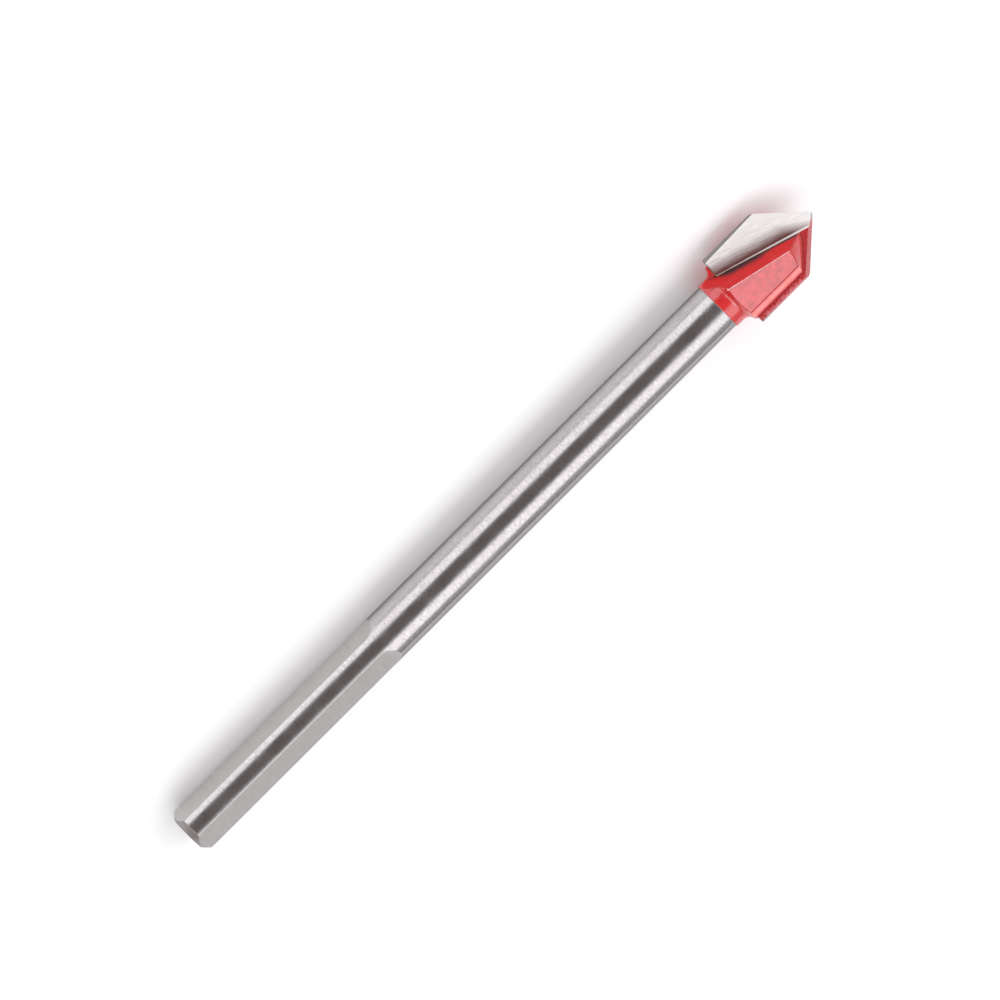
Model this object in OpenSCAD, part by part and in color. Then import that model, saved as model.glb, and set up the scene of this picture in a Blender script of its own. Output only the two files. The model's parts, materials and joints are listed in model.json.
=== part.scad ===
// Glass and tile drill bit: a turned steel shank with three drive flats, and a flat carbide
// spear point brazed into the slot of its head. The bit lies on the back face of its head and
// on the end of its shank, with the point towards +X.

/* [Overall] */
// Length from the point to the end of the shank
overall_length = 100; // [80:1:150]

/* [Shank] */
// Diameter of the round shank
shank_d = 6; // [5:0.1:6.2]
// Width of the 45 degree chamfer on the end of the shank
end_chamfer = 0.85; // [0.2:0.05:0.95]
// Radius of the slight crown on that chamfer
end_crown = 1.3; // [1:0.05:1.4]
// Number of drive flats round the shank
flat_count = 3; // [3:1:4]
// Length of a drive flat, from the end of the shank
flat_length = 30.5; // [15:0.5:45]
// Depth of a drive flat below the round
flat_depth = 0.6; // [0.2:0.05:0.8]
// Length over which a drive flat slopes up to the round
flat_runout = 1.2; // [0.4:0.1:4]
// Turn of the drive flats about the axis, from the blade
flat_turn = 3.4; // [-20:0.1:20]

/* [Head] */
// Diameter of the turned head
head_d = 8.3; // [7.8:0.1:9]
// Steel left between the end of the slot and the shoulder
slot_land = 0.25; // [0.1:0.05:1]
// Slope of the shoulder, from the axis
shoulder_angle = 75; // [45:1:80]
// Radius of the fillet at the foot of the shoulder
shoulder_fillet = 0.9; // [0.2:0.05:1]
// Diameter of the collar behind the shoulder
collar_d = 6.35; // [6.25:0.05:6.6]
// Length of the collar, from the foot of the shoulder
collar_length = 1.8; // [1.2:0.1:4]
// Half angle of the cone on the front of the head
nose_half_angle = 45; // [40:1:50]
// Distance from the point back to the apex of that cone
nose_setback = 1.35; // [1.2:0.05:2.5]
// Distance of the milled back faces from the axis
back_face_height = 3.65; // [3.4:0.05:3.8]
// Turn of the milled back faces about the axis, from the blade
back_face_turn = 22.5; // [15:0.5:30]

/* [Flutes] */
// Angle of the foot of a flute to the axis
flute_angle = 16; // [12:0.5:20]
// Slope of the flute wall, from the blade
flute_wall_angle = 56.5; // [50:0.5:66]
// Distance from the point back to where the foot crosses the axis
flute_crossing = 3.85; // [3:0.05:5]
// Drop of the flute's floor below the blade's own face
flute_drop = 0.15; // [0.05:0.05:0.4]
// Depth of the rake face below the blade's own face, at the point
rake_depth = 0.65; // [0.2:0.05:0.75]
// Slope of the ground wall beside the rake face
rake_wall_angle = 68; // [67:1:80]

/* [Carbide tip] */
// Diameter that the bit cuts
cutting_d = 10; // [9.6:0.1:12]
// Angle between the two cutting edges
point_angle = 84; // [78:1:100]
// Thickness of the carbide blade
tip_thickness = 2; // [1.6:0.1:2.4]
// Length of the carbide blade
tip_length = 12.7; // [11:0.1:15]
// Clearance angle behind the cutting edges
relief_angle = 18; // [8:1:25]
// Clearance angle on the sides of the blade
side_relief_angle = 8; // [3:1:15]
// Width of the chamfer along the outer edge of a rake face
edge_chamfer = 0.3; // [0.1:0.05:0.5]
// Slope of that chamfer, from the blade
edge_chamfer_angle = 60; // [45:1:75]

/* [Braze] */
// Thickness of the braze between the blade and its slot
braze_gap = 0.1; // [0.05:0.01:0.2]

/* [Hidden] */
$fn = 96;

// The bit turns half round onto itself about its axis
HALF_TURNS = [0, 180];

shank_r = shank_d / 2;
head_r = head_d / 2;
collar_r = collar_d / 2;
cutting_r = cutting_d / 2;
blade_face = tip_thickness / 2;

// Stations along the axis, as distances behind the point
slot_end = tip_length + braze_gap;
shoulder_top = slot_end + slot_land;
shoulder_foot = shoulder_top + (head_r - collar_r) / tan(shoulder_angle);
collar_end = shoulder_foot + collar_length;
nose_end = nose_setback + head_r / tan(nose_half_angle);

// The fillet between the shoulder and the collar, which the shoulder's height limits
shoulder_slope = (head_r - collar_r) / sin(shoulder_angle);
fillet_tangent = min(shoulder_fillet * tan(shoulder_angle / 2), 0.9 * shoulder_slope);
fillet_r = fillet_tangent / tan(shoulder_angle / 2);
fillet_centre = [collar_r + fillet_r, shoulder_foot + fillet_tangent];
fillet_on_collar = [collar_r, shoulder_foot + fillet_tangent];
fillet_on_shoulder = [
    collar_r + fillet_tangent * sin(shoulder_angle),
    shoulder_foot - fillet_tangent * cos(shoulder_angle)
];

// A block larger than the bit, for cuts that run right through
reach = 3 * cutting_d;

// The rake face sinks from the blade's own face at the end of the slot to rake_depth at the point
rake_tilt = atan(rake_depth / slot_end);

// The outer corner of a cutting edge lies on the circle that the bit cuts
half_point = point_angle / 2;
corner_back = cutting_r / tan(half_point);
corner_z = blade_face - (slot_end - corner_back) * tan(rake_tilt);
corner_y = sqrt(cutting_r ^ 2 - corner_z ^ 2);

// A drive flat's distance from the axis and half the angle that it spans
flat_height = shank_r - flat_depth;
flat_half_angle = acos(flat_height / shank_r);
flat_pitch = 360 / flat_count;
flat_angles = [for (i = [0 : flat_count - 1]) flat_pitch * (i + 0.5) - flat_turn];

// At rest the lower back face is down. The end of the shank then stands on its lowest edge.
function fold(angle, pitch) = abs(((angle % pitch) + 1.5 * pitch) % pitch - pitch / 2);
down_from_flat = fold(180 + back_face_turn - flat_angles[0], flat_pitch);
past_flat = max(0, flat_half_angle - down_from_flat);
end_support = shank_r * cos(past_flat);
head_contact = shoulder_top + (head_r - back_face_height) / tan(shoulder_angle);
end_contact = overall_length - end_chamfer;
rest_pitch = atan((back_face_height - end_support) / (end_contact - head_contact));
rest_height = head_contact * sin(rest_pitch) + back_face_height * cos(rest_pitch);
end_face_r = shank_r - end_chamfer;
rest_centre = (overall_length * cos(rest_pitch) + end_face_r * sin(rest_pitch)) / 2;

// From the bit's own frame, with its point at the origin and its blade level, to where it lies
module at_rest() {
    translate([rest_centre, 0, rest_height])
        rotate([-back_face_turn, -rest_pitch, 0])
            children();
}

// Both halves of a feature that repeats half a turn round the axis
module both_sides() {
    for (turn = HALF_TURNS)
        rotate([turn, 0, 0])
            children();
}

// A solid of revolution about the axis, from an outline of radius and distance behind the point
module turned() {
    rotate([0, -90, 0])
        rotate_extrude()
            children();
}

// All that lies above a plane through the origin
module above() {
    translate([-reach, -reach, 0])
        cube([2 * reach, 2 * reach, reach]);
}

// A long trough along X with a flat floor on the +Y side and a sloping wall on the -Y side
module trough(wall_angle) {
    rotate([90, 0, 90])
        linear_extrude(2 * reach, center = true)
            polygon([
                [0, 0],
                [reach, 0],
                [reach, reach],
                [-reach / tan(wall_angle), reach]
            ]);
}

// Turns what lies along X to run along the foot of the upper flute
module along_flute() {
    translate([-flute_crossing, 0, 0])
        rotate([0, 0, -flute_angle])
            children();
}

// The milled upper flute: its wall meets the blade's own face along the foot
module flute() {
    translate([0, 0, blade_face])
        along_flute()
            translate([0, flute_drop / tan(flute_wall_angle), -flute_drop])
                trough(flute_wall_angle);
}

// The ground rake face of the upper flute, deepest at the point
module rake_grind() {
    translate([-slot_end, 0, blade_face])
        rotate([0, rake_tilt, 0])
            translate([slot_end, 0, 0])
                along_flute()
                    trough(rake_wall_angle);
}

// The corner that the crowned chamfer takes off the end of the shank
module end_corner() {
    crown_inset = (end_chamfer + sqrt(2 * end_crown ^ 2 - end_chamfer ^ 2)) / 2;
    translate([shank_r - crown_inset, overall_length - crown_inset])
        difference() {
            square(2 * end_crown);
            circle(end_crown);
        }
}

// Round bar of the shank with its end chamfer, run into the head
module shank_bar() {
    turned()
        difference() {
            translate([0, shoulder_foot])
                square([shank_r, overall_length - shoulder_foot]);
            end_corner();
        }
}

// Turned blank of the head: nose cone, round head, shoulder, fillet and collar
module head_blank() {
    turned()
        difference() {
            polygon([
                [0, nose_setback],
                [head_r, nose_end],
                [head_r, shoulder_top],
                fillet_on_shoulder,
                fillet_centre,
                fillet_on_collar,
                [collar_r, collar_end],
                [0, collar_end]
            ]);
            translate(fillet_centre)
                circle(fillet_r);
        }
}

// One drive flat with its sloping end, facing +Z
module drive_flat() {
    flat_end = flat_length - overall_length;
    rotate([90, 0, 0])
        linear_extrude(2 * shank_d, center = true)
            polygon([
                [-overall_length - shank_d, flat_height],
                [flat_end, flat_height],
                [flat_end + flat_runout, shank_r],
                [flat_end + 2 * flat_runout, shank_r + flat_depth],
                [-overall_length - shank_d, shank_r + flat_depth]
            ]);
}

// Milled back faces, flutes and rake faces, as they are cut through the head
module head_cuts() {
    both_sides() {
        rotate([back_face_turn, 0, 0])
            translate([0, 0, back_face_height])
                above();
        flute();
        rake_grind();
    }
}

// Room for the blade and its braze, open at the front and at both sides
module blade_slot() {
    slot_w = tip_thickness + 2 * braze_gap;
    translate([-slot_end, -reach, -slot_w / 2])
        cube([slot_end + reach, 2 * reach, slot_w]);
}

// The carbide blade with its cutting edges, clearances and rake faces
module blade() {
    difference() {
        translate([-tip_length, -cutting_r, -blade_face])
            cube([tip_length + cutting_r, cutting_d, tip_thickness]);
        both_sides() {
            // Clearance behind the cutting edge
            rotate([0, 0, 90 - half_point])
                rotate([0, 90 + relief_angle, 0])
                    above();
            // Clearance on the side
            translate([0, corner_y, corner_z])
                rotate([-90 - side_relief_angle, 0, 0])
                    above();
            // Chamfer along the outer edge of the rake face
            translate([0, corner_y - edge_chamfer, corner_z])
                rotate([-edge_chamfer_angle, 0, 0])
                    above();
            rake_grind();
        }
    }
}

// Steel shank and head in one piece, bright behind the collar and painted in front of it
module shank() {
    at_rest()
        difference() {
            union() {
                color("silver")
                    shank_bar();
                color("crimson")
                    head_blank();
            }
            for (angle = flat_angles)
                rotate([angle, 0, 0])
                    drive_flat();
            head_cuts();
            blade_slot();
        }
}

// Spear point of carbide
module carbide_tip() {
    color("gainsboro")
        at_rest()
            blade();
}

// Braze that fills the slot round the blade
module braze_joint() {
    color("goldenrod")
        at_rest()
            difference() {
                intersection() {
                    head_blank();
                    blade_slot();
                }
                head_cuts();
                blade();
            }
}

shank();
carbide_tip();
braze_joint();
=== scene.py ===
"""Glass and tile drill bit: models and dresses the steel shank, the carbide blade and the braze.

Every piece is modelled in millimetres in the bit's own frame, with the point at the origin, the shank
towards -X and the blade level. It is then laid where the bit comes to rest, in metres.
"""

import json
import logging
import math
from abc import ABC, abstractmethod
from contextlib import contextmanager
from dataclasses import dataclass
from enum import Enum
from typing import Callable, Iterable, Iterator

import bmesh
import bpy
from mathutils import Matrix, Vector


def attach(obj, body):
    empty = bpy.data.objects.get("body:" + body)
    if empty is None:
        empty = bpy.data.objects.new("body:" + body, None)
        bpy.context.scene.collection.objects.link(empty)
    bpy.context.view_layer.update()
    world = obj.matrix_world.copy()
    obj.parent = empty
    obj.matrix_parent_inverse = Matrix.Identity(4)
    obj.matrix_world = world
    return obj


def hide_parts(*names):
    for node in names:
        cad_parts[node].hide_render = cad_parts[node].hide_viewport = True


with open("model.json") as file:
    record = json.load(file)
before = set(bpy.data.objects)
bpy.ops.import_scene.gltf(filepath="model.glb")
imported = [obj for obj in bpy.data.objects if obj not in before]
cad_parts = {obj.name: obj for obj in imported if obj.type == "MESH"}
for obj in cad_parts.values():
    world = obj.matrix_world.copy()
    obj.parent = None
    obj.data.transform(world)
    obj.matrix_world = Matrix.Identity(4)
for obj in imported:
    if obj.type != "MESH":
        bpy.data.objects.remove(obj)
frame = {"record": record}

LOG = logging.getLogger("drill_bit")
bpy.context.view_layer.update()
BODY = "root"
MM = 0.001

Colour = tuple[float, float, float]
Range = tuple[float, float]
Profile = list[tuple[float, float]]
FaceTest = Callable[[Vector, Vector], bool]
PlaceTest = Callable[[Vector], bool]
Socket = bpy.types.NodeSocket
Solid = bpy.types.Object


class Cut(Enum):
    """How one solid changes another."""

    REMOVE = "DIFFERENCE"
    KEEP = "INTERSECT"


class Lay(Enum):
    """How the fine lines in a metal run."""

    STRAIGHT = "along the bit's own axes"
    ROUND = "in rings round the bit's axis"


class Measure(Enum):
    """A distance by which a surface changes along the bit."""

    BEHIND_POINT = "behind the point"
    FROM_AXIS = "to either side of the axis, in the blade's plane"
    FROM_SEAM = "above or below the middle of the blade, and more behind its slot and towards the point"
    FROM_FOOT = "from the foot of the nearest flute over its rake face, and more towards the point"


@dataclass(frozen=True)
class BitSizes:
    """The bit's driving dimensions, in millimetres and degrees."""

    overall_length: float = 100.0
    shank_radius: float = 3.0
    end_chamfer: float = 0.85
    flat_count: int = 3
    flat_length: float = 30.5
    flat_depth: float = 0.6
    flat_runout: float = 1.2
    flat_turn: float = 3.4
    head_radius: float = 4.15
    slot_land: float = 0.25
    shoulder_angle: float = 75.0
    shoulder_fillet: float = 0.9
    collar_radius: float = 3.175
    collar_length: float = 1.8
    nose_half_angle: float = 45.0
    nose_setback: float = 1.35
    back_face_height: float = 3.65
    back_face_turn: float = 22.5
    flute_angle: float = 16.0
    flute_wall_angle: float = 56.5
    flute_crossing: float = 3.85
    flute_drop: float = 0.15
    rake_depth: float = 0.65
    rake_wall_angle: float = 68.0
    cutting_radius: float = 5.0
    point_angle: float = 84.0
    blade_thickness: float = 2.0
    blade_length: float = 12.7
    relief_angle: float = 18.0
    side_relief_angle: float = 8.0
    edge_chamfer: float = 0.3
    edge_chamfer_angle: float = 60.0
    braze_gap: float = 0.1

    @property
    def blade_face(self) -> float:
        """Distance of the blade's own faces from its middle."""
        return self.blade_thickness / 2

    @property
    def slot_end(self) -> float:
        """Distance of the slot's end behind the point."""
        return self.blade_length + self.braze_gap

    @property
    def shoulder_top(self) -> float:
        """Distance of the shoulder's outer edge behind the point."""
        return self.slot_end + self.slot_land

    @property
    def shoulder_foot(self) -> float:
        """Distance behind the point of where the shoulder would meet the collar."""
        rise = self.head_radius - self.collar_radius
        return self.shoulder_top + rise / math.tan(math.radians(self.shoulder_angle))

    @property
    def collar_end(self) -> float:
        """Distance of the collar's end behind the point."""
        return self.shoulder_foot + self.collar_length

    @property
    def nose_end(self) -> float:
        """Distance behind the point of where the nose cone meets the round head."""
        return self.nose_setback + self.head_radius / math.tan(math.radians(self.nose_half_angle))

    @property
    def flat_height(self) -> float:
        """Distance of a drive flat from the axis."""
        return self.shank_radius - self.flat_depth

    @property
    def rake_tilt(self) -> float:
        """Slope of the rake face along the axis, in radians."""
        return math.atan(self.rake_depth / self.slot_end)

    @property
    def cutting_corner(self) -> Vector:
        """The outer corner of the cutting edge on the +Y side of the blade.

        Returns:
            Its place in the bit's own frame.
        """
        back = self.cutting_radius / math.tan(math.radians(self.point_angle / 2))
        height = self.blade_face - (self.slot_end - back) * math.tan(self.rake_tilt)
        return Vector((-back, math.sqrt(self.cutting_radius**2 - height**2), height))


@dataclass(frozen=True)
class RestPlace:
    """Where the bit lies: its point, its slope and its roll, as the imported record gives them."""

    point: Vector
    slope: float
    roll: float

    @classmethod
    def from_record(cls, record: dict, sizes: BitSizes) -> "RestPlace":
        """Reads the place from the mount on the end of the shank.

        Args:
            record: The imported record.
            sizes: The bit's dimensions.

        Returns:
            The place in which the bit lies.
        """
        mount = next(m for m in record["mounts"] if m["name"] == "shank_end")
        forward = -Vector(mount["axis"])
        point = Vector(mount["pos_m"]) + forward * sizes.overall_length * MM
        return cls(point, math.asin(forward.z), math.radians(sizes.back_face_turn))

    @property
    def turn(self) -> Matrix:
        """The rotation from the bit's own frame to where it lies."""
        return Matrix.Rotation(-self.slope, 4, "Y") @ Matrix.Rotation(-self.roll, 4, "X")

    @property
    def matrix(self) -> Matrix:
        """The full placing from the bit's own millimetres to metres where it lies."""
        return Matrix.Translation(self.point) @ self.turn @ Matrix.Scale(MM, 4)


@dataclass(frozen=True)
class ShadeAndStainSizes:
    """How the painted shade and stain beside the braze and the painted shade on the rake faces run out, in
    millimetres.
    """

    shade_and_stain_rear_lead: float = 1.0
    shade_and_stain_rear_loss: float = 2.0
    shade_and_stain_front: Range = (8.0, 5.5)
    shade_and_stain_front_loss: float = 0.7
    wall_shade_front_loss: float = 1.6


@dataclass(frozen=True)
class FaceLimits:
    """What tells the surfaces of a piece apart.

    Gaps are in millimetres and leans in degrees. A lead is the part of a face's normal that points along
    the axis, and a rise is the part that points up from the blade.
    """

    seam_gap: float = 1e-3
    round_gap: float = 0.01
    corner_gap: float = 0.1
    back_gap: float = 0.2
    end_lead: float = 0.6
    front_lead: float = 0.5
    flat_lean: float = 1.8
    wall_lean: float = 2.5
    ground_wall_lean: float = 5.7
    back_lean: float = 1.0
    shade_line_leans: Range = (2.5, 26.0)
    worn_highlight_leans: Range = (26.0, 76.0)
    worn_highlight_from_wall: Range = (3.0, 54.0)
    wall_rises: Range = (0.25, 0.45)
    painted_rise: float = 0.3


SIZES = BitSizes()
SHADE_AND_STAIN_SIZES = ShadeAndStainSizes()
LIMITS = FaceLimits()
PLACE = RestPlace.from_record(frame["record"], SIZES)
BOTH_SIDES = (Matrix.Identity(4), Matrix.Rotation(math.pi, 4, "X"))


class NodeSheet:
    """A material's nodes, with short calls that add and join them."""

    mixed_colours: slice = slice(6, 8)
    mixed_result: int = 2

    def __init__(self, name: str) -> None:
        """Makes the material, with a shader and an output.

        Args:
            name: The material's name.
        """
        self.material = bpy.data.materials.new(name)
        self.material.use_nodes = True
        self.tree = self.material.node_tree
        self.tree.nodes.clear()
        self.shader = self.tree.nodes.new("ShaderNodeBsdfPrincipled")
        output = self.tree.nodes.new("ShaderNodeOutputMaterial")
        self.tree.links.new(self.shader.outputs["BSDF"], output.inputs["Surface"])

    def node(self, kind: str, **settings: object) -> bpy.types.Node:
        """Adds a node.

        Args:
            kind: The node's type, without the prefix that all shader nodes share.
            settings: The node's own settings.

        Returns:
            The node.
        """
        node = self.tree.nodes.new("ShaderNode" + kind)
        for key, value in settings.items():
            setattr(node, key, value)
        return node

    def give(self, socket: Socket, value: object) -> None:
        """Gives an input its value.

        Args:
            socket: The input.
            value: Another node's output, which is joined to it, or a constant, which is set on it.
        """
        if isinstance(value, Socket):
            self.tree.links.new(value, socket)
        else:
            socket.default_value = value

    def shade(self, **inputs: object) -> None:
        """Gives the shader's inputs their values.

        Args:
            inputs: The values, by the inputs' names in small letters with underscores.
        """
        for key, value in inputs.items():
            name = "IOR" if key == "ior" else key.replace("_", " ").title()
            self.give(self.shader.inputs[name], value)

    def bit_frame(self) -> Socket:
        """Adds coordinates in the bit's own frame.

        Returns:
            The coordinates, in millimetres.
        """
        mapping = self.node("Mapping", vector_type="TEXTURE")
        self.give(mapping.inputs["Vector"], self.node("TexCoord").outputs["Object"])
        self.give(mapping.inputs["Location"], PLACE.point)
        self.give(mapping.inputs["Rotation"], PLACE.turn.to_euler())
        self.give(mapping.inputs["Scale"], (MM, MM, MM))
        return mapping.outputs["Vector"]

    def round_axis(self, where: Socket) -> Socket:
        """Turns coordinates into the place along the axis and the distance from it.

        Args:
            where: The coordinates to read.

        Returns:
            Coordinates with that place as X and that distance as Y.
        """
        split = self.node("SeparateXYZ")
        self.give(split.inputs[0], where)
        along, aside, above = split.outputs
        squared = self.math("MULTIPLY_ADD", aside, aside, self.math("MULTIPLY", above, above))
        joined = self.node("CombineXYZ")
        for socket, value in zip(joined.inputs, (along, self.math("SQRT", squared))):
            self.give(socket, value)
        return joined.outputs[0]

    def noise(self, where: Socket, pitch: Vector, turn: float = 0.0, detail: float = 2.0) -> Socket:
        """Adds noise that is stretched along the bit's axes.

        Args:
            where: The coordinates to read.
            pitch: The size of the noise along each axis, in millimetres.
            turn: The turn of those axes in the blade's plane, in degrees.
            detail: How many finer layers are added.

        Returns:
            The noise, from 0 to 1.
        """
        mapping = self.node("Mapping", vector_type="TEXTURE")
        self.give(mapping.inputs["Vector"], where)
        self.give(mapping.inputs["Rotation"], (0.0, 0.0, math.radians(turn)))
        self.give(mapping.inputs["Scale"], pitch)
        texture = self.node("TexNoise")
        self.give(texture.inputs["Vector"], mapping.outputs["Vector"])
        self.give(texture.inputs["Scale"], 1.0)
        self.give(texture.inputs["Detail"], detail)
        return texture.outputs["Fac"]

    def spread(self, value: Socket, onto: Range, start: float = 0.3, end: float = 0.7) -> Socket:
        """Maps a stretch of a value onto a range, held at its ends.

        Args:
            value: The value to map.
            onto: The range.
            start: The value that gives the start of the range.
            end: The value that gives its end.

        Returns:
            The mapped value.
        """
        node = self.node("MapRange")
        names = ("Value", "From Min", "From Max", "To Min", "To Max")
        for name, given in zip(names, (value, start, end, *onto)):
            self.give(node.inputs[name], given)
        return node.outputs["Result"]

    def math(self, operation: str, *values: object) -> Socket:
        """Works out a sum.

        Args:
            operation: The sum's name.
            values: What it takes, each a constant or another node's output.

        Returns:
            The sum.
        """
        node = self.node("Math", operation=operation)
        for socket, value in zip(node.inputs, values):
            self.give(socket, value)
        return node.outputs[0]

    def measure(self, where: Socket, measure: Measure) -> Socket:
        """Reads a distance at every place.

        Args:
            where: The coordinates to read.
            measure: The distance to read.

        Returns:
            The distance, in millimetres.
        """
        split = self.node("SeparateXYZ")
        self.give(split.inputs[0], where)
        along, aside, above = split.outputs
        match measure:
            case Measure.BEHIND_POINT:
                return self.math("ABSOLUTE", along)
            case Measure.FROM_AXIS:
                return self.math("ABSOLUTE", aside)
            case Measure.FROM_SEAM:
                return self.from_seam(along, above)
            case Measure.FROM_FOOT:
                return self.from_foot(along, aside, above)

    def from_seam(self, along: Socket, above: Socket) -> Socket:
        """Reads the distance from the middle of the blade, with more added where the painted shade and stain
        run out.

        Args:
            along: The place along the axis.
            above: The place above the middle of the blade.

        Returns:
            The distance, in millimetres.
        """
        rear_start = SHADE_AND_STAIN_SIZES.shade_and_stain_rear_lead - SIZES.blade_length
        front_start, front_end = SHADE_AND_STAIN_SIZES.shade_and_stain_front
        rear = self.spread(along, (SHADE_AND_STAIN_SIZES.shade_and_stain_rear_loss, 0.0), -SIZES.collar_end, rear_start)
        front = self.spread(along, (0.0, SHADE_AND_STAIN_SIZES.shade_and_stain_front_loss), -front_start, -front_end)
        return self.math("ADD", self.math("ABSOLUTE", above), self.math("ADD", rear, front))

    def from_foot(self, along: Socket, aside: Socket, above: Socket) -> Socket:
        """Reads the distance from the foot of the nearest flute, with more added towards the point.

        Args:
            along: The place along the axis.
            aside: The place to the side of the axis.
            above: The place above the middle of the blade.

        Returns:
            The distance, in millimetres.
        """
        slant = math.radians(SIZES.flute_angle)
        outward = self.math("MULTIPLY", aside, self.math("SIGN", above))
        crossing = self.math("ADD", along, SIZES.flute_crossing)
        forward = self.math("MULTIPLY", crossing, math.sin(slant))
        distance = self.math("MULTIPLY_ADD", outward, math.cos(slant), forward)
        front = self.spread(along, (0.0, SHADE_AND_STAIN_SIZES.wall_shade_front_loss), -SIZES.flute_crossing, 0.0)
        return self.math("ADD", distance, front)

    def blend(self, share: Socket, first: object, second: object) -> Socket:
        """Blends two colours, each a constant or another node's output.

        Args:
            share: How much of the second colour is taken, from 0 to 1.
            first: The first colour.
            second: The second colour.

        Returns:
            The blend.
        """
        node = self.node("Mix", data_type="RGBA")
        self.give(node.inputs[0], share)
        for socket, colour in zip(node.inputs[self.mixed_colours], (first, second)):
            self.give(socket, colour if isinstance(colour, Socket) else (*colour, 1.0))
        return node.outputs[self.mixed_result]

    def bump(self, height: Socket, depth: float) -> None:
        """Adds a fine relief to the shader.

        Args:
            height: The relief's height, from 0 to 1.
            depth: Its depth in millimetres.
        """
        node = self.node("Bump")
        self.give(node.inputs["Height"], height)
        self.give(node.inputs["Distance"], depth * MM)
        self.shade(normal=node.outputs["Normal"])


@dataclass(frozen=True)
class Finish(ABC):
    """A surface that pieces are dressed in."""

    name: str

    @abstractmethod
    def lay_out(self, sheet: NodeSheet) -> None:
        """Lays out the material's nodes."""

    @property
    def material(self) -> bpy.types.Material:
        """The material, made the first time that it is asked for.

        Returns:
            The material that all pieces with this finish share.
        """
        ready = bpy.data.materials.get(self.name)
        if ready:
            return ready
        sheet = NodeSheet(self.name)
        self.lay_out(sheet)
        return sheet.material


@dataclass(frozen=True)
class Veil:
    """What a surface turns into over a stretch of the bit: its colour, and how metallic a lacquer gets."""

    measure: Measure
    start: float
    end: float
    colour: Colour
    metallic: float = 0.0
    ragged: float = 0.2

    def share(self, sheet: NodeSheet, where: Socket, grain: Socket) -> Socket:
        """Finds how far the surface has turned at every place.

        Args:
            sheet: The nodes to add to.
            where: The coordinates to read.
            grain: The noise that makes the veil's edge ragged.

        Returns:
            The share, from 0 to 1.
        """
        edge = sheet.spread(grain, (-self.ragged, self.ragged))
        place = sheet.math("ADD", sheet.measure(where, self.measure), edge)
        return sheet.spread(place, (0.0, 1.0), self.start, self.end)


@dataclass(frozen=True)
class GroundMetal(Finish):
    """Bare metal with fine grinding lines, that may carry a painted shade over a stretch of the bit."""

    light: Colour
    dark: Colour
    roughness: Range
    pitch: Vector
    turn: float = 0.0
    relief: float = 0.003
    metallic: float = 1.0
    cloud: float = 3.0
    edge: float = 1.0
    lay: Lay = Lay.STRAIGHT
    veil: Veil | None = None

    def lay_out(self, sheet: NodeSheet) -> None:
        """Lays out the lines in the colour and the relief, slow clouds in the sheen, and the veil.

        Args:
            sheet: The nodes to add to.
        """
        where = sheet.bit_frame()
        lined = sheet.round_axis(where) if self.lay is Lay.ROUND else where
        lines = sheet.noise(lined, self.pitch, self.turn, detail=4.0)
        clouds = sheet.noise(where, Vector((self.cloud, self.cloud, self.cloud)))
        colour = sheet.blend(sheet.spread(lines, (0.0, 1.0)), self.dark, self.light)
        if self.veil:
            colour = sheet.blend(self.veil.share(sheet, where, lines), colour, self.veil.colour)
        sheet.shade(metallic=self.metallic, base_color=colour,
                    roughness=sheet.spread(clouds, self.roughness),
                    specular_tint=(self.edge, self.edge, self.edge, 1.0))
        sheet.bump(lines, self.relief)


@dataclass(frozen=True)
class Lacquer(Finish):
    """Red lacquer, a little uneven, that may wear, darken or take painted shade over stretches of the bit.
    """

    light: Colour
    deep: Colour
    roughness: Range
    ior: float = 1.85
    cloud: float = 0.8
    grain: float = 0.18
    grain_weight: float = 0.4
    mottle: Range = (0.5, 0.9)
    relief: float = 0.004
    veils: tuple[Veil, ...] = ()

    def lay_out(self, sheet: NodeSheet) -> None:
        """Lays out clouds and grain in the colour, grain in the sheen and the relief, and the veils.

        Args:
            sheet: The nodes to add to.
        """
        where = sheet.bit_frame()
        clouds = sheet.noise(where, Vector((self.cloud, self.cloud, self.cloud)), detail=2.0)
        grain = sheet.noise(where, Vector((self.grain, self.grain, self.grain)), detail=1.0)
        mixed = sheet.math("MULTIPLY_ADD", grain, self.grain_weight, clouds)
        colour = sheet.blend(sheet.spread(mixed, (0.0, 1.0), *self.mottle), self.deep, self.light)
        metallic = 0.0
        for veil in self.veils:
            turned = veil.share(sheet, where, grain)
            colour = sheet.blend(turned, colour, veil.colour)
            if veil.metallic:
                metallic = sheet.math("MULTIPLY_ADD", turned, veil.metallic, metallic)
        sheet.shade(ior=self.ior, base_color=colour, metallic=metallic,
                    roughness=sheet.spread(grain, self.roughness))
        sheet.bump(grain, self.relief)


POINT_WEAR = Veil(Measure.BEHIND_POINT, start=0.8, end=0.4, colour=(0.36, 0.345, 0.34), metallic=0.7,
                  ragged=0.1)
RIM_FRONT = Veil(Measure.BEHIND_POINT, start=7.0, end=5.8, colour=(0.46, 0.014, 0.02), ragged=0.4)
RIM_FOOT = Veil(Measure.FROM_AXIS, start=4.5, end=4.3, colour=(0.4, 0.012, 0.018), ragged=0.12)
# Painted shadow: the blade's clearances and rear end turn near black towards the rear of the plate.
REAR_PAINTED_SHADOW = Veil(Measure.BEHIND_POINT, start=9.5, end=12.3, colour=(0.03, 0.004, 0.006), ragged=1.2)
# Painted shade in the corner at the foot of each flute wall, with heat stain where the paint is ground off:
# the wall turns dark and partly metallic near the blade's middle, most behind the slot.
FLUTE_FOOT_SHADE_AND_STAIN = Veil(Measure.FROM_SEAM, start=2.35, end=1.6, colour=(0.06, 0.026, 0.03), metallic=0.4)
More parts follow.
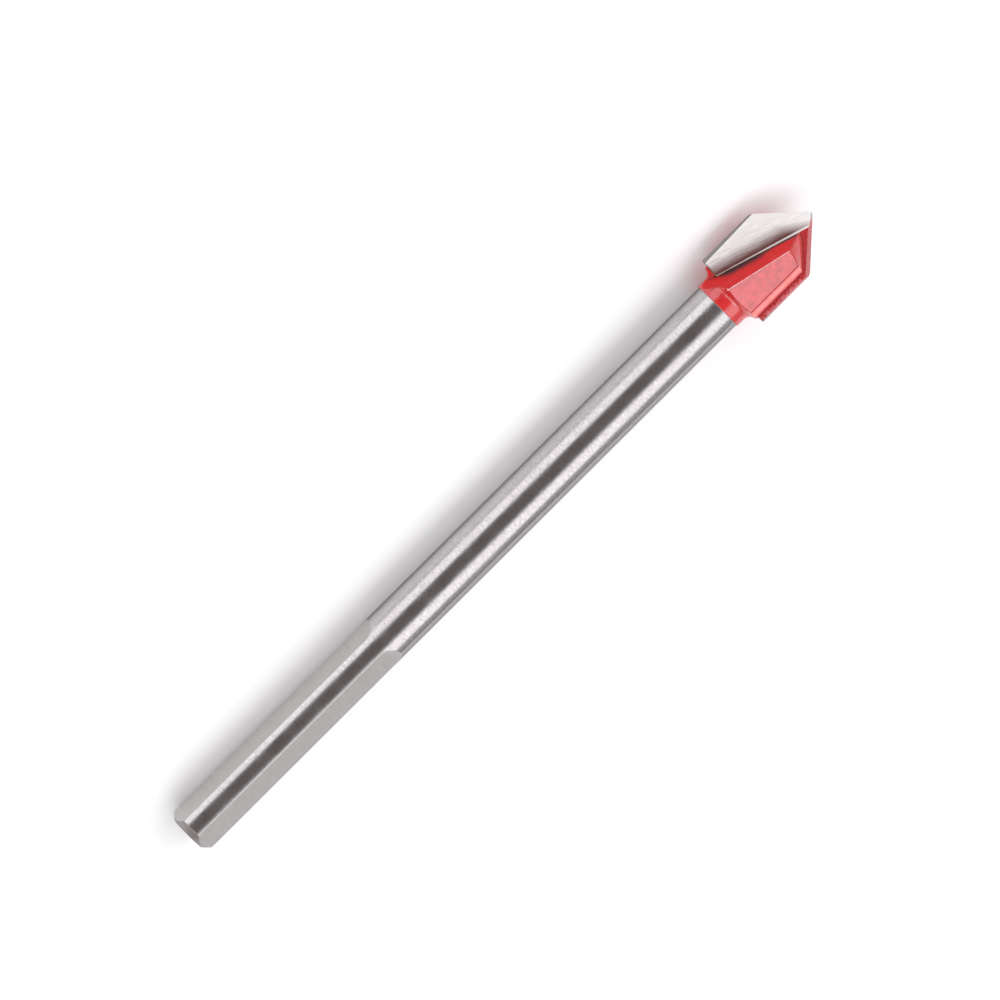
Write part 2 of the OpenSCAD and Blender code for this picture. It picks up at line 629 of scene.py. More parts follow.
# Painted shade with a painted reflection of the red flute wall: the rake faces turn brown near the foot of
# the wall, less towards the point.
RAKE_PAINTED_SHADE = Veil(Measure.FROM_FOOT, start=1.75, end=0.25, colour=(0.17, 0.065, 0.06), ragged=0.1)
STEEL = GroundMetal("ground_steel", (0.52, 0.498, 0.495), (0.38, 0.36, 0.36), (0.21, 0.28),
                    Vector((0.1, 0.5, 0.5)), relief=0.003, edge=0.45)
FLAT_STEEL = GroundMetal("ground_flat", (0.55, 0.528, 0.519), (0.46, 0.443, 0.434), (0.46, 0.54),
                         Vector((0.11, 2.0, 2.0)), relief=0.003)
FACED_STEEL = GroundMetal("faced_steel", (0.35, 0.325, 0.32), (0.24, 0.22, 0.22), (0.28, 0.36),
                          Vector((0.12, 0.12, 1.0)), relief=0.006, lay=Lay.ROUND)
CARBIDE = GroundMetal("ground_carbide", (0.94, 0.915, 0.905), (0.74, 0.705, 0.69), (0.46, 0.56),
                      Vector((3.0, 0.1, 0.1)), turn=-SIZES.flute_angle, metallic=0.4, edge=0.2,
                      veil=RAKE_PAINTED_SHADE)
CARBIDE_WALL = GroundMetal("bright_carbide", (0.92, 0.9, 0.89), (0.8, 0.77, 0.755), (0.3, 0.4),
                           Vector((3.0, 0.1, 0.1)), turn=-SIZES.flute_angle, metallic=0.1)
# The chamfer along each rake face: the same carbide, painted dark grey as shade.
CARBIDE_EDGE_SHADE = GroundMetal("carbide_edge_painted_shade", (0.3, 0.29, 0.285), (0.22, 0.21, 0.205), (0.3, 0.42),
                           Vector((2.0, 0.15, 0.15)))
BRAZE = GroundMetal("braze_alloy", (0.36, 0.29, 0.22), (0.17, 0.125, 0.1), (0.35, 0.5),
                    Vector((0.3, 0.3, 0.3)))
STAIN = GroundMetal("heat_stained_steel", (0.16, 0.08, 0.08), (0.07, 0.035, 0.038), (0.4, 0.55),
                    Vector((0.5, 0.12, 0.12)), turn=-SIZES.flute_angle)
# A worn edge along the round between each back face and its flute, painted near white as a highlight.
WORN_EDGE_HIGHLIGHT = GroundMetal("worn_edge_and_highlight", (1.0, 0.93, 0.92), (0.85, 0.4, 0.4), (0.3, 0.4),
                   Vector((0.6, 0.6, 0.6)), metallic=0.5)
LACQUER = Lacquer("red_lacquer", (0.6, 0.018, 0.02), (0.5, 0.012, 0.014), (0.16, 0.28))
FLANK_LACQUER = Lacquer("flank_lacquer", (0.5, 0.018, 0.022), (0.36, 0.01, 0.014), (0.25, 0.4), ior=1.45,
                        veils=(POINT_WEAR, REAR_PAINTED_SHADOW))
FLUTE_LACQUER = Lacquer("flute_lacquer", (0.6, 0.02, 0.022), (0.52, 0.014, 0.016), (0.3, 0.4),
                        ior=1.2, veils=(FLUTE_FOOT_SHADE_AND_STAIN,))
# Grainy red lacquer for the milled back faces, painted pink as a painted sheen.
MILLED_SHEEN_LACQUER = Lacquer("milled_lacquer_painted_sheen", (0.67, 0.085, 0.096), (0.46, 0.06, 0.068), (0.24, 0.38),
                         ior=1.82, cloud=0.75, grain=0.36, relief=0.006)
RIM_LACQUER = Lacquer("rim_lacquer", (0.72, 0.2, 0.21), (0.36, 0.012, 0.018), (0.24, 0.38), cloud=0.6,
                      grain=0.3, relief=0.012, veils=(RIM_FRONT, RIM_FOOT))
# Red lacquer for the round of the head, painted pink as a painted sheen.
ROUND_SHEEN_LACQUER = Lacquer("round_lacquer_painted_sheen", (0.9, 0.23, 0.215), (0.8, 0.16, 0.15), (0.16, 0.28), ior=2.0)
# Dark red for the dark line along the braze seam, and for painted shade lines round each milled back face.
SEAM_AND_SHADE_LACQUER = Lacquer("dark_seam_and_shade_lacquer", (0.36, 0.01, 0.014), (0.24, 0.006, 0.009), (0.3, 0.4), ior=1.2)


class Bench:
    """The modelling operations that the pieces share."""

    reach: float = 30.0
    sort_from: Vector = Vector((7.0, 5.3, 11.9))
    round_steps: int = 3
    sliver: float = 1e-4
    level_lean: float = 0.2
    level_weight: int = 80

    @staticmethod
    def select_only(obj: Solid) -> None:
        """Makes one object the active one and the only one selected.

        Args:
            obj: The object.
        """
        bpy.ops.object.select_all(action="DESELECT")
        obj.select_set(True)
        bpy.context.view_layer.objects.active = obj

    @staticmethod
    @contextmanager
    def editing(obj: Solid) -> Iterator[bmesh.types.BMesh]:
        """Opens edit mode on one object, with all of it selected.

        Args:
            obj: The object to edit.

        Yields:
            The mesh being edited, for selecting by place.
        """
        Bench.select_only(obj)
        bpy.ops.object.mode_set(mode="EDIT")
        bpy.ops.mesh.select_all(action="SELECT")
        yield bmesh.from_edit_mesh(obj.data)
        bpy.ops.object.mode_set(mode="OBJECT")

    @staticmethod
    def place(obj: Solid, matrix: Matrix) -> None:
        """Moves an object and puts its place into its mesh.

        Args:
            obj: The object to move.
            matrix: The move.
        """
        Bench.select_only(obj)
        obj.matrix_world = matrix @ obj.matrix_world
        bpy.ops.object.transform_apply(location=True, rotation=True, scale=True)

    @staticmethod
    def block(name: str, low: Vector, high: Vector) -> Solid:
        """Adds a block between two corners.

        Args:
            name: The object's name.
            low: The lowest corner.
            high: The highest corner.

        Returns:
            The block.
        """
        bpy.ops.object.select_all(action="DESELECT")
        bpy.ops.mesh.primitive_cube_add(size=1.0, location=(low + high) / 2, scale=high - low)
        bpy.ops.object.transform_apply(location=True, rotation=True, scale=True)
        obj = bpy.context.active_object
        obj.name = name
        return obj

    @staticmethod
    def slice_off(obj: Solid, at: Vector, facing: Vector) -> None:
        """Removes what lies in front of a plane and closes the cut.

        Args:
            obj: The solid to slice.
            at: A point of the plane.
            facing: The plane's normal, towards what is removed.
        """
        with Bench.editing(obj):
            bpy.ops.mesh.bisect(plane_co=at, plane_no=facing, use_fill=True, clear_outer=True)

    @staticmethod
    def apply(obj: Solid, kind: str, **settings: object) -> None:
        """Adds a modifier to an object and applies it.

        Args:
            obj: The object to change.
            kind: The modifier's type.
            settings: The modifier's own settings.
        """
        Bench.select_only(obj)
        modifier = obj.modifiers.new(kind.lower(), kind)
        for key, value in settings.items():
            setattr(modifier, key, value)
        bpy.ops.object.modifier_apply(modifier=modifier.name)

    @staticmethod
    def combine(obj: Solid, tool: Solid, cut: Cut) -> None:
        """Cuts an object with another solid, which stays."""
        Bench.apply(obj, "BOOLEAN", object=tool, operation=cut.value, solver="EXACT")

    @staticmethod
    def discard(*objects: Solid) -> None:
        """Removes solids that were only tools."""
        for obj in objects:
            bpy.data.objects.remove(obj, do_unlink=True)

    @staticmethod
    def round_edges(obj: Solid, width: float, sharpness: float, region: PlaceTest) -> None:
        """Rounds the sharp edges of one region.

        Args:
            obj: The piece.
            width: How far the round reaches onto each face.
            sharpness: The smallest turn between two faces that counts as sharp, in degrees.
            region: Says, from an edge's middle, whether it is rounded.
        """
        with Bench.editing(obj) as mesh:
            bpy.ops.mesh.select_mode(type="EDGE")
            bpy.ops.mesh.select_all(action="DESELECT")
            for edge in mesh.edges:
                sharp = len(edge.link_faces) == 2 and edge.calc_face_angle() > math.radians(sharpness)
                if sharp and region((edge.verts[0].co + edge.verts[1].co) / 2):
                    edge.select_set(True)
            bmesh.update_edit_mesh(obj.data)
            bpy.ops.mesh.bevel(offset=width, segments=Bench.round_steps, profile=0.5, clamp_overlap=False)
            bpy.ops.mesh.select_all(action="SELECT")
            bpy.ops.mesh.dissolve_degenerate(threshold=Bench.sliver)

    @staticmethod
    def clean(obj: Solid, gap: float) -> None:
        """Merges points that lie close together and joins level faces.

        Args:
            obj: The solid to clean.
            gap: The distance below which points are merged.
        """
        with Bench.editing(obj):
            bpy.ops.mesh.remove_doubles(threshold=gap)
            bpy.ops.mesh.dissolve_limited(angle_limit=math.radians(Bench.level_lean))
            bpy.ops.mesh.select_all(action="SELECT")
            bpy.ops.mesh.normals_make_consistent(inside=False)

    @staticmethod
    def put_in_order(obj: Solid) -> None:
        """Sorts edges and faces by place, because extruding leaves their order to chance.

        Args:
            obj: The solid to sort.
        """
        bpy.context.scene.cursor.location = Bench.sort_from
        with Bench.editing(obj):
            bpy.ops.mesh.sort_elements(type="CURSOR_DISTANCE", elements={"EDGE", "FACE"})

    @staticmethod
    def smooth(obj: Solid) -> None:
        """Shades a piece smoothly, with its large faces kept level.

        Args:
            obj: The piece.
        """
        Bench.select_only(obj)
        bpy.ops.object.shade_smooth()
        Bench.apply(obj, "WEIGHTED_NORMAL", mode="FACE_AREA", weight=Bench.level_weight, keep_sharp=True)

    @staticmethod
    def dress(obj: Solid, finish: Finish, test: FaceTest) -> None:
        """Gives the faces that pass a test a finish of their own.

        Args:
            obj: The piece.
            finish: The finish.
            test: Says, from a face's centre and normal, whether it has that finish.
        """
        obj.data.materials.append(finish.material)
        index = len(obj.data.materials) - 1
        for face in obj.data.polygons:
            if test(face.center, face.normal):
                face.material_index = index


def everywhere(*_: Vector) -> bool:
    """Passes every face and every edge."""
    return True


def looks_along(normal: Vector, ways: Iterable[Vector], lean: float) -> bool:
    """Says whether a face looks along one of several directions, to within a lean in degrees."""
    return any(normal.dot(way) > math.cos(math.radians(lean)) for way in ways)


@dataclass
class HeadCutters:
    """The tools that cut the head: back faces, flutes and rake faces on both sides, and the slot."""

    sizes: BitSizes

    def __post_init__(self) -> None:
        """Makes every tool once, for the pieces that it cuts."""
        self.rakes = [self.trough("rake", self.sizes.rake_wall_angle, side @ self.rake_place)
                      for side in BOTH_SIDES]
        self.flutes = [self.trough("flute", self.sizes.flute_wall_angle, side @ self.flute_place)
                       for side in BOTH_SIDES]
        self.back_faces = [self.back_face(side) for side in BOTH_SIDES]
        self.slot = self.blade_slot()

    @property
    def along_flute(self) -> Matrix:
        """The placing along the foot of the upper flute."""
        slant = Matrix.Rotation(-math.radians(self.sizes.flute_angle), 4, "Z")
        return Matrix.Translation((-self.sizes.flute_crossing, 0.0, 0.0)) @ slant

    @property
    def flute_place(self) -> Matrix:
        """The placing of the upper flute, whose wall meets the blade's face along the foot.

        Returns:
            The placing of its tool.
        """
        drop = self.sizes.flute_drop
        shift = drop / math.tan(math.radians(self.sizes.flute_wall_angle))
        rise = Matrix.Translation((0.0, 0.0, self.sizes.blade_face))
        return rise @ self.along_flute @ Matrix.Translation((0.0, shift, -drop))

    @property
    def rake_place(self) -> Matrix:
        """The placing of the upper rake face, which is deepest at the point.

        Returns:
            The placing of its tool.
        """
        start = Matrix.Translation((-self.sizes.slot_end, 0.0, self.sizes.blade_face))
        tilt = Matrix.Rotation(self.sizes.rake_tilt, 4, "Y")
        return start @ tilt @ Matrix.Translation((self.sizes.slot_end, 0.0, 0.0)) @ self.along_flute

    @property
    def all(self) -> list[Solid]:
        """Every tool that shapes the outside of the head."""
        return [*self.back_faces, *self.flutes, *self.rakes]

    def trough(self, name: str, wall_angle: float, place: Matrix) -> Solid:
        """Makes a long tool with a level floor and one sloping wall.

        Args:
            name: The tool's name.
            wall_angle: The wall's slope, in degrees.
            place: Where the tool's foot lies.

        Returns:
            The tool.
        """
        reach = Bench.reach
        tool = Bench.block(name, Vector((-reach, -reach, 0.0)), Vector((reach, reach, reach)))
        slope = math.radians(wall_angle)
        Bench.slice_off(tool, Vector(), Vector((0.0, -math.sin(slope), -math.cos(slope))))
        Bench.place(tool, place)
        return tool

    def back_face(self, side: Matrix) -> Solid:
        """Makes the tool that mills one back face.

        Args:
            side: The turn to that face's side of the bit.

        Returns:
            The tool.
        """
        reach = Bench.reach
        height = self.sizes.back_face_height
        tool = Bench.block("back_face", Vector((-reach, -reach, height)), Vector((reach, reach, reach)))
        Bench.place(tool, side @ Matrix.Rotation(math.radians(self.sizes.back_face_turn), 4, "X"))
        return tool

    def blade_slot(self) -> Solid:
        """Makes the tool that saws the slot for the blade.

        Returns:
            The tool.
        """
        reach = Bench.reach
        half = self.sizes.blade_face + self.sizes.braze_gap
        low = Vector((-self.sizes.slot_end, -reach, -half))
        return Bench.block("slot", low, Vector((reach, reach, half)))

    def discard(self) -> None:
        """Removes the tools."""
        Bench.discard(self.slot, *self.all)


@dataclass
class Shank:
    """The turned steel piece: shank, collar, shoulder and slotted head."""

    sizes: BitSizes
    name: str = "shank_body"
    segments: int = 160
    fillet_limit: float = 0.9
    sharpness: float = 22.0
    runout_round: float = 0.5
    paint_round: float = 0.07
    steel_round: float = 0.04
    weld_gap: float = 1e-5
    merge_gap: float = 0.01

    def end_profile(self) -> Profile:
        """The end of the shank, its chamfer and its round.

        Returns:
            Their points, as radius and distance behind the point.
        """
        chamfer = self.sizes.end_chamfer
        return [
            (self.sizes.shank_radius - chamfer, self.sizes.overall_length),
            (self.sizes.shank_radius, self.sizes.overall_length - chamfer),
            (self.sizes.shank_radius, self.sizes.collar_end),
        ]

    def fillet_profile(self, steps: int = 10) -> Profile:
        """The fillet from the collar into the shoulder.

        Args:
            steps: The number of stretches that it is made of.

        Returns:
            Its points, as radius and distance behind the point.
        """
        sizes = self.sizes
        half = math.tan(math.radians(sizes.shoulder_angle / 2))
        slope = (sizes.head_radius - sizes.collar_radius) / math.sin(math.radians(sizes.shoulder_angle))
        tangent = min(sizes.shoulder_fillet * half, self.fillet_limit * slope)
        radius = tangent / half
        turns = [math.radians(sizes.shoulder_angle) * i / steps for i in range(steps + 1)]
        centre = (sizes.collar_radius + radius, sizes.shoulder_foot + tangent)
        return [(centre[0] - radius * math.cos(t), centre[1] - radius * math.sin(t)) for t in turns]

    def head_profile(self) -> Profile:
        """The collar, the fillet, the shoulder, the round head and the nose cone.

        Returns:
            Their points, as radius and distance behind the point.
        """
        return [
            (self.sizes.collar_radius, self.sizes.collar_end),
            *self.fillet_profile(),
            (self.sizes.head_radius, self.sizes.shoulder_top),
            (self.sizes.head_radius, self.sizes.nose_end),
            (0.0, self.sizes.nose_setback),
        ]

    def turned(self, name: str, profile: Profile) -> Solid:
        """Turns a solid by drawing a disc out along the axis.

        Args:
            name: The object's name.
            profile: Its outline from the rear to the front, as radius and distance behind the point.

        Returns:
            The solid.
        """
        radius, behind = profile[0]
        bpy.ops.object.select_all(action="DESELECT")
        bpy.ops.mesh.primitive_circle_add(vertices=self.segments, radius=radius, fill_type="NGON",
                                          location=(-behind, 0.0, 0.0), rotation=(0.0, math.pi / 2, 0.0))
        bpy.ops.object.transform_apply(location=True, rotation=True, scale=True)
        obj = bpy.context.active_object
        obj.name = name
        with Bench.editing(obj):
            for next_radius, next_behind in profile[1:]:
                step = (behind - next_behind, 0.0, 0.0)
                bpy.ops.mesh.extrude_region_move(TRANSFORM_OT_translate={"value": step})
                scale = next_radius / radius
                bpy.ops.transform.resize(value=(1.0, scale, scale), center_override=(-next_behind, 0.0, 0.0))
                radius, behind = next_radius, next_behind
            bpy.ops.mesh.select_all(action="SELECT")
            bpy.ops.mesh.remove_doubles(threshold=self.weld_gap)
            bpy.ops.mesh.normals_make_consistent(inside=False)
        Bench.put_in_order(obj)
        return obj

    def flat_cutter(self, angle: float) -> Solid:
        """Makes the tool that mills one drive flat with its sloping end.

        Args:
            angle: The flat's turn about the axis, in degrees.

        Returns:
            The tool.
        """
        sizes = self.sizes
        flat_end = sizes.flat_length - sizes.overall_length
        width = 2 * sizes.shank_radius
        low = Vector((-sizes.overall_length - width, -width, sizes.flat_height))
        high = Vector((flat_end + 2 * sizes.flat_runout, width, sizes.shank_radius + sizes.flat_depth))
        tool = Bench.block("drive_flat", low, high)
        facing = Vector((sizes.flat_depth, 0.0, -sizes.flat_runout)).normalized()
        corner = Vector((flat_end, 0.0, sizes.flat_height))
        Bench.slice_off(tool, corner, facing)
        Bench.round_edges(tool, self.runout_round, self.sharpness,
                          lambda middle: (middle - corner).length < LIMITS.corner_gap)
        Bench.place(tool, Matrix.Rotation(math.radians(angle), 4, "X"))
        return tool

    def in_head(self, centre: Vector, _: Vector | None = None) -> bool:
        """Says whether a place is on the painted head or its collar."""
        return centre.x > -self.sizes.collar_end - LIMITS.seam_gap

    def behind_head(self, centre: Vector) -> bool:
        """Says whether a place is on the bare shank."""
        return not self.in_head(centre)

    def on_flat(self, centre: Vector, normal: Vector) -> bool:
        """Says whether a face is one of the drive flats or their sloping ends.

        Args:
            centre: The face's centre.
            normal: The face's normal.

        Returns:
            Whether it is.
        """
        front = self.sizes.flat_length + self.sizes.flat_runout - self.sizes.overall_length
        inside = math.hypot(centre.y, centre.z) < self.sizes.shank_radius - LIMITS.round_gap
        return centre.x < front and inside and abs(normal.x) < LIMITS.end_lead

    def on_end(self, centre: Vector, normal: Vector) -> bool:
        """Says whether a face is the end of the shank or its chamfer."""
        front = self.sizes.end_chamfer - self.sizes.overall_length
        return centre.x < front and abs(normal.x) > LIMITS.end_lead

    def on_round(self, centre: Vector, _: Vector) -> bool:
        """Says whether a face is on the round of the head."""
        inner = self.sizes.head_radius - LIMITS.round_gap
        return self.in_head(centre) and math.hypot(centre.y, centre.z) > inner

    def flute_normal(self, wall_angle: float, side: Matrix) -> Vector:
        """Finds the direction in which the wall of a flute or of a rake face looks.

        Args:
            wall_angle: The wall's slope, in degrees.
            side: The turn to that wall's side of the bit.

        Returns:
            The wall's normal.
        """
        slope = math.radians(wall_angle)
        slant = math.radians(self.sizes.flute_angle)
        across = math.sin(slope)
        return side @ Vector((across * math.sin(slant), across * math.cos(slant), math.cos(slope)))

    def back_normal(self, side: Matrix) -> Vector:
        """Finds the direction in which a milled back face looks."""
        turn = math.radians(self.sizes.back_face_turn)
        return side @ Vector((0.0, -math.sin(turn), math.cos(turn)))

    def on_flute(self, centre: Vector, normal: Vector) -> bool:
        """Says whether a face is the wall of a flute."""
        walls = [self.flute_normal(self.sizes.flute_wall_angle, side) for side in BOTH_SIDES]
        return self.in_head(centre) and looks_along(normal, walls, LIMITS.wall_lean)

    def on_ground_wall(self, centre: Vector, normal: Vector) -> bool:
        """Says whether a face is the strip that the rake's wheel ground into the steel."""
        walls = [self.flute_normal(self.sizes.rake_wall_angle, side) for side in BOTH_SIDES]
        return self.in_head(centre) and looks_along(normal, walls, LIMITS.ground_wall_lean)

    def lean_from_back(self, centre: Vector, normal: Vector) -> float:
        """Finds how far a face beside a milled back face leans from it.

        Args:
            centre: The face's centre.
            normal: The face's normal.

        Returns:
            The lean in degrees, or a half turn for a face that is beside neither back face.
        """
        inner = self.sizes.back_face_height - LIMITS.back_gap
        beside = [back for back in map(self.back_normal, BOTH_SIDES)
                  if self.in_head(centre) and centre.dot(back) > inner]
        return min((math.degrees(normal.angle(back)) for back in beside), default=180.0)

    def on_back(self, centre: Vector, normal: Vector) -> bool:
        """Says whether a face is a milled back face."""
        return self.lean_from_back(centre, normal) < LIMITS.back_lean

    def round_back_shade_line(self, centre: Vector, normal: Vector) -> bool:
        """Says whether a face is the start of the round that rings a milled back face, painted as a dark
        shade line.
        """
        low, high = LIMITS.shade_line_leans
        return low < self.lean_from_back(centre, normal) < high

    def worn_edge_and_highlight(self, centre: Vector, normal: Vector) -> bool:
        """Says whether a face is the rest of the round between a back face and its flute, painted as a worn
        edge with a highlight.

        Args:
            centre: The face's centre.
            normal: The face's normal.

        Returns:
            Whether it is.
        """
        walls = [self.flute_normal(self.sizes.flute_wall_angle, side) for side in BOTH_SIDES]
        from_wall = min(math.degrees(normal.angle(wall)) for wall in walls)
        low, high = LIMITS.worn_highlight_leans
        near, far = LIMITS.worn_highlight_from_wall
        return low <= self.lean_from_back(centre, normal) < high and near < from_wall < far

    def build(self, cutters: HeadCutters) -> Solid:
        """Models, dresses and lays the shank.

        Args:
            cutters: The tools that cut the head.

        Returns:
            The finished piece.
        """
        body = self.turned(self.name, [*self.end_profile(), *self.head_profile()])
        pitch = 360.0 / self.sizes.flat_count
        flats = [self.flat_cutter(pitch * (i + 0.5) - self.sizes.flat_turn)
                 for i in range(self.sizes.flat_count)]
        for tool in [*flats, *cutters.all, cutters.slot]:
            Bench.combine(body, tool, Cut.REMOVE)
        Bench.discard(*flats)
        Bench.clean(body, self.merge_gap)
        Bench.dress(body, STEEL, everywhere)
        Bench.dress(body, FLAT_STEEL, self.on_flat)
        Bench.dress(body, FACED_STEEL, self.on_end)
        Bench.dress(body, LACQUER, self.in_head)
        Bench.dress(body, ROUND_SHEEN_LACQUER, self.on_round)
        Bench.dress(body, MILLED_SHEEN_LACQUER, self.on_back)
        Bench.dress(body, FLUTE_LACQUER, self.on_flute)
        Bench.dress(body, STAIN, self.on_ground_wall)
        Bench.round_edges(body, self.steel_round, self.sharpness, self.behind_head)
        Bench.round_edges(body, self.paint_round, self.sharpness, self.in_head)
        Bench.dress(body, SEAM_AND_SHADE_LACQUER, self.round_back_shade_line)
        Bench.dress(body, WORN_EDGE_HIGHLIGHT, self.worn_edge_and_highlight)
        Bench.smooth(body)
        Bench.place(body, PLACE.matrix)
        return body


@dataclass
class Blade:
    """The flat carbide spear point."""

    sizes: BitSizes
    name: str = "spear_blade"
    edge_round: float = 0.03
    sharpness: float = 15.0
    merge_gap: float = 1e-4

    def plate(self) -> Solid:
        """Models the plate, sliced to its point and its clearances.

        Returns:
            The plate.
        """
        sizes = self.sizes
        low = Vector((-sizes.blade_length, -sizes.cutting_radius, -sizes.blade_face))
        high = Vector((sizes.cutting_radius, sizes.cutting_radius, sizes.blade_face))
        plate = Bench.block(self.name, low, high)
        relief = math.radians(90.0 + sizes.relief_angle)
        edge = math.radians(90.0 - sizes.point_angle / 2)
        across = math.sin(relief)
        flank = Vector((across * math.cos(edge), across * math.sin(edge), math.cos(relief)))
        clearance = math.radians(90.0 + sizes.side_relief_angle)
        side = Vector((0.0, math.sin(clearance), math.cos(clearance)))
        corner = sizes.cutting_corner
        inner = corner - Vector((0.0, sizes.edge_chamfer, 0.0))
        for turn in BOTH_SIDES:
            for at, facing in ((Vector(), flank), (corner, side), (inner, self.chamfer_normal)):
                Bench.slice_off(plate, turn @ at, turn @ facing)
        return plate

    @property
    def chamfer_normal(self) -> Vector:
        """The direction in which the chamfer along the upper rake face looks."""
        slope = math.radians(self.sizes.edge_chamfer_angle)
        return Vector((0.0, math.sin(slope), math.cos(slope)))

    def on_chamfer(self, _: Vector, normal: Vector) -> bool:
        """Says whether a face is the chamfer along the outer edge of a rake face."""
        chamfers = [side @ self.chamfer_normal for side in BOTH_SIDES]
        return looks_along(normal, chamfers, LIMITS.wall_lean)

    def on_own_face(self, centre: Vector, normal: Vector) -> bool:
        """Says whether a face is one of the plate's own faces."""
        level = abs(normal.z) > math.cos(math.radians(LIMITS.flat_lean))
        return level and abs(abs(centre.z) - self.sizes.blade_face) < LIMITS.seam_gap

    def on_wall(self, _: Vector, normal: Vector) -> bool:
        """Says whether a face is the ground wall beside a rake face."""
        low, high = LIMITS.wall_rises
        return low < abs(normal.z) < high

    def is_painted(self, centre: Vector, normal: Vector) -> bool:
        """Says whether a face is a clearance or the plate's rear end."""
        rise = normal.z if centre.y >= 0.0 else -normal.z
        return rise < LIMITS.painted_rise

    def build(self, cutters: HeadCutters) -> Solid:
        """Models, dresses and lays the blade.

        Args:
            cutters: The tools that cut the head.

        Returns:
            The finished piece.
        """
        blade = self.plate()
        for tool in cutters.rakes:
            Bench.combine(blade, tool, Cut.REMOVE)
        Bench.clean(blade, self.merge_gap)
        Bench.dress(blade, CARBIDE, everywhere)
        Bench.dress(blade, CARBIDE_WALL, self.on_wall)
        Bench.dress(blade, FLANK_LACQUER, self.is_painted)
        Bench.dress(blade, RIM_LACQUER, self.on_own_face)
        Bench.dress(blade, CARBIDE_EDGE_SHADE, self.on_chamfer)
        Bench.round_edges(blade, self.edge_round, self.sharpness, everywhere)
        Bench.smooth(blade)
        Bench.place(blade, PLACE.matrix)
        return blade


@dataclass
class Braze:
    """The film of braze that fills the slot round the blade."""

    shank: Shank
    blade: Blade
    name: str = "braze_seam"
    merge_gap: float = 1e-3

    @staticmethod
    def is_painted(_: Vector, normal: Vector) -> bool:
        """Says whether a face is part of the painted outside of the head."""
        return abs(normal.z) < LIMITS.painted_rise or normal.x > LIMITS.front_lead

    def build(self, cutters: HeadCutters) -> Solid:
        """Models, dresses and lays the braze.

        Args:
            cutters: The tools that cut the head.

        Returns:
            The finished piece.
        """
        film = self.shank.turned(self.name, self.shank.head_profile())
        plate = self.blade.plate()
        Bench.combine(film, cutters.slot, Cut.KEEP)
        for tool in (plate, *cutters.all):
            Bench.combine(film, tool, Cut.REMOVE)
        Bench.discard(plate)
        Bench.clean(film, self.merge_gap)
        Bench.dress(film, BRAZE, everywhere)
        Bench.dress(film, SEAM_AND_SHADE_LACQUER, self.is_painted)
        Bench.place(film, PLACE.matrix)
        return film


@dataclass(frozen=True)
class SoftPanel:
    """A soft light that faces the bit, placed by the side it stands on and its lean from straight up."""

    name: str
    side: float
    leans: Range
    radiance: float
    length: float = 1.2
    distance: float = 0.5

    def build(self) -> bpy.types.Object:
        """Makes the light.

        Returns:
            The light. Its side is an angle round the vertical from +X towards +Y, in degrees.
        """
        lean = math.radians(sum(self.leans) / 2)
        width = 2 * self.distance * math.tan(math.radians(self.leans[1] - self.leans[0]) / 2)
        data = bpy.data.lights.new(self.name, "AREA")
        data.shape = "RECTANGLE"
        data.size = width
        data.size_y = self.length
        data.energy = self.radiance * math.pi * self.length * width
        light = bpy.data.objects.new(self.name, data)
        turn = Matrix.Rotation(math.radians(self.side), 4, "Z") @ Matrix.Rotation(lean, 4, "Y")
        light.matrix_world = turn @ Matrix.Translation((0.0, 0.0, self.distance))
        light.visible_camera = False
        bpy.context.scene.collection.objects.link(light)
        return light


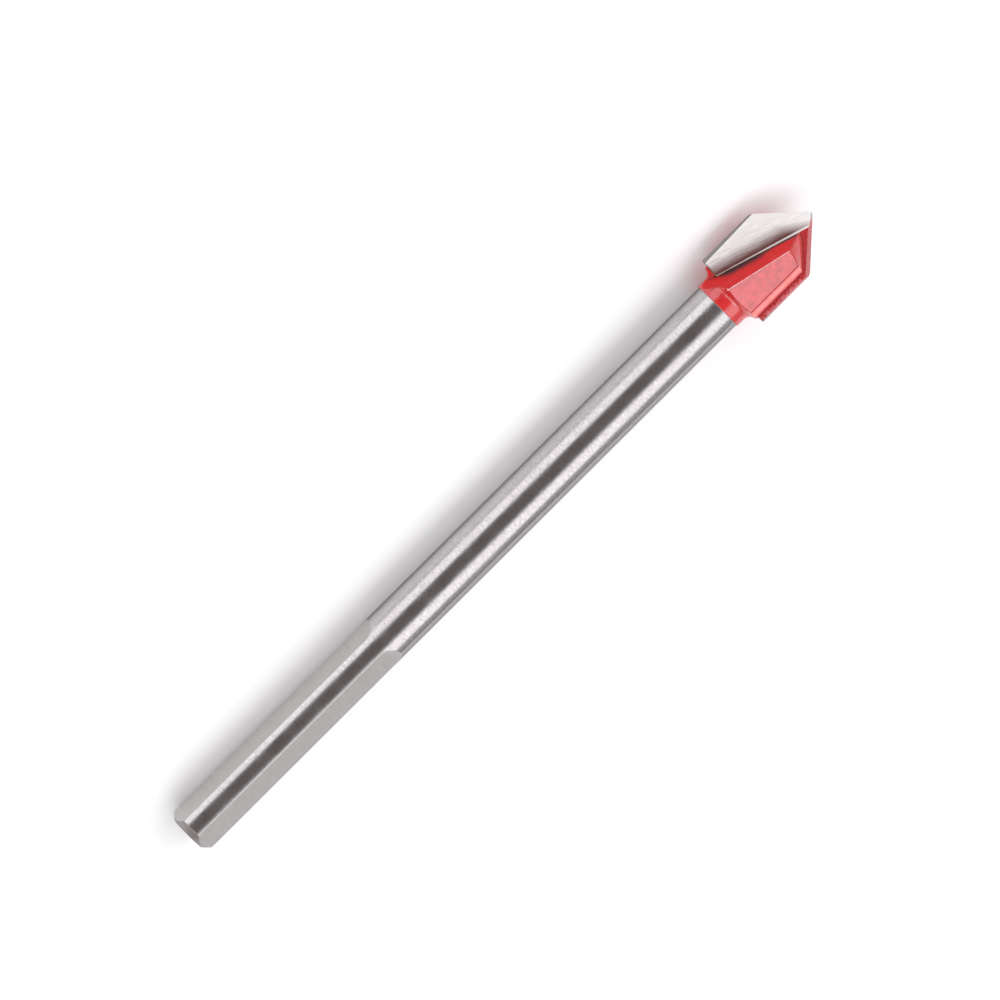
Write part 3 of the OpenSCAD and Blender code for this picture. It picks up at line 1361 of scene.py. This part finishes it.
@dataclass
class Studio:
    """The floor, the lights and the camera."""

    place: RestPlace
    lens: float = 400.0
    sensor: float = 36.0
    view_width: float = 113.53
    axis_rise: float = 44.89
    look_behind: float = 48.12
    look_aside: float = 1.857
    floor_size: float = 6.0
    floor_tone: float = 0.9
    floor_roughness: float = 0.9
    far_clip: float = 10.0
    room_tone: Colour = (0.17, 0.15, 0.148)
    panel_tone: Colour = (0.975, 0.98, 1.0)
    panels: tuple[SoftPanel, ...] = (
        SoftPanel("overhead_panel", -90.0, (11.5, 57.5), 1.9),
        SoftPanel("side_fill", -90.0, (60.0, 82.0), 0.42),
        SoftPanel("low_panel", 90.0, (49.0, 86.0), 1.75),
        SoftPanel("front_panel", 0.0, (28.0, 62.0), 1.7, length=0.8, distance=0.7),
        SoftPanel("rear_panel", 180.0, (28.0, 62.0), 1.7, length=0.8, distance=0.7),
    )

    def build(self) -> None:
        """Makes the whole studio."""
        self.floor()
        self.room()
        for panel in self.panels:
            panel.build().data.color = self.panel_tone
        self.camera()
        bpy.context.scene.view_settings.view_transform = "Standard"

    def floor(self) -> None:
        """Makes the plain pale floor."""
        bpy.ops.object.select_all(action="DESELECT")
        bpy.ops.mesh.primitive_plane_add(size=self.floor_size)
        floor = bpy.context.active_object
        floor.name = "floor"
        sheet = NodeSheet("pale_floor")
        sheet.shade(base_color=(*[self.floor_tone] * 3, 1.0), roughness=self.floor_roughness)
        floor.data.materials.append(sheet.material)

    def room(self) -> None:
        """Makes the dim room round the lights."""
        world = bpy.data.worlds.new("room")
        world.use_nodes = True
        world.node_tree.nodes["Background"].inputs["Color"].default_value = (*self.room_tone, 1.0)
        bpy.context.scene.world = world

    def camera(self) -> None:
        """Makes the camera, square to the bit's axis and to its blade."""
        forward = (self.place.turn @ Vector((1.0, 0.0, 0.0))).normalized()
        aside = (self.place.turn @ Vector((0.0, 1.0, 0.0))).normalized()
        back = forward.cross(aside)
        rise = math.radians(self.axis_rise)
        right = math.cos(rise) * forward - math.sin(rise) * aside
        up = math.sin(rise) * forward + math.cos(rise) * aside
        target = self.place.point + (aside * self.look_aside - forward * self.look_behind) * MM
        data = bpy.data.cameras.new("camera")
        data.lens = self.lens
        data.sensor_width = self.sensor
        data.clip_end = self.far_clip
        distance = self.view_width * MM * self.lens / self.sensor
        camera = bpy.data.objects.new("camera", data)
        turn = Matrix((right, up, back)).transposed().to_4x4()
        camera.matrix_world = Matrix.Translation(target + back * distance) @ turn
        bpy.context.scene.collection.objects.link(camera)
        bpy.context.scene.camera = camera


def hand_over(piece: Solid, node: str) -> None:
    """Lets a piece stand for its node and ride on the bit.

    Args:
        piece: The finished piece.
        node: The node that it stands for.
    """
    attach(piece, BODY)
    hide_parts(node)
    LOG.info("%s stands for %s with %d faces", piece.name, node, len(piece.data.polygons))


def main() -> None:
    """Builds the studio and the three pieces."""
    logging.basicConfig(level=logging.INFO, format="%(name)s: %(message)s")
    Studio(PLACE).build()
    cutters = HeadCutters(SIZES)
    shank = Shank(SIZES)
    blade = Blade(SIZES)
    braze = Braze(shank, blade)
    hand_over(shank.build(cutters), "shank")
    hand_over(blade.build(cutters), "carbide_tip")
    hand_over(braze.build(cutters), "braze_joint")
    cutters.discard()


if __name__ == "__main__":
    main()
